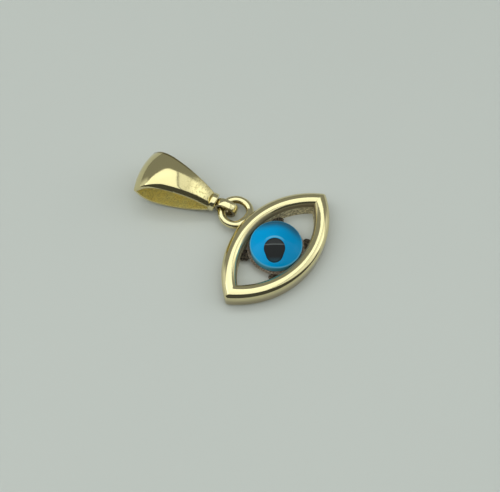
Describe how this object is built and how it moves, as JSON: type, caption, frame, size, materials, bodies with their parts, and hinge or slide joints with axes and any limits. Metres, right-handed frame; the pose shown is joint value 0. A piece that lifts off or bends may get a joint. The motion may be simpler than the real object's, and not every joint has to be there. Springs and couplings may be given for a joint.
{
  "type": "evil eye pendant",
  "caption": "Eye-shaped polished gold rim that holds a round blue glass with a black pupil, with a soldered ring and a folded strap bail, lying on its back.",
  "frame": {"origin": "middle of the glass eye, on the flat back that the pendant lies on", "axes": "+X along the eye from corner to corner, +Y from the eye towards the ring and the bail, +Z out of the face"},
  "size_m": [0.0144, 0.019, 0.0044],
  "materials": {
    "gold": "polished pale yellow 14 karat gold",
    "blue_glass": "glossy opaque turquoise blue glass",
    "black_glass": "glossy opaque black glass"
  },
  "bodies": {
    "root": {"eye_frame": "gold", "glass_eye": "blue_glass", "pupil": "black_glass", "bail": "gold"}
  },
  "joints": []
}
